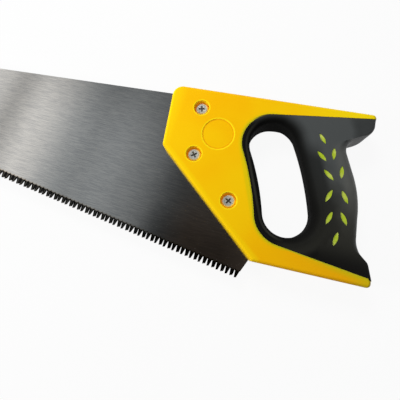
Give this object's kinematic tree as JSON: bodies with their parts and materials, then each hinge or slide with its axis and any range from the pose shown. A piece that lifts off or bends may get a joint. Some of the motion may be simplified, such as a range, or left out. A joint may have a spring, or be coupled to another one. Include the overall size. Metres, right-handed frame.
{
  "type": "hand saw",
  "caption": "Hand saw with a tapered toothed steel blade held by screws in a moulded handle with a closed soft grip.",
  "frame": {"origin": "bottom centre of its bounding box, with the saw lying on its side", "axes": "+X along the line of the teeth from the toe to the handle, +Y from the teeth to the back, +Z out of the screw head side"},
  "size_m": [0.5842, 0.1512, 0.024],
  "materials": {
    "blade": "ground along its length",
    "handle_body": "moulded, soft gloss",
    "grip_core": "moulded",
    "grip_sleeve": "soft, matt",
    "fasteners": "nickel plated"
  },
  "bodies": {
    "root": {"blade": "blade", "handle_body": "handle_body", "grip_core": "grip_core", "grip_sleeve": "grip_sleeve", "screw_upper": "fasteners", "screw_middle": "fasteners", "screw_lower": "fasteners", "nut_upper": "fasteners", "nut_middle": "fasteners", "nut_lower": "fasteners"}
  },
  "joints": []
}
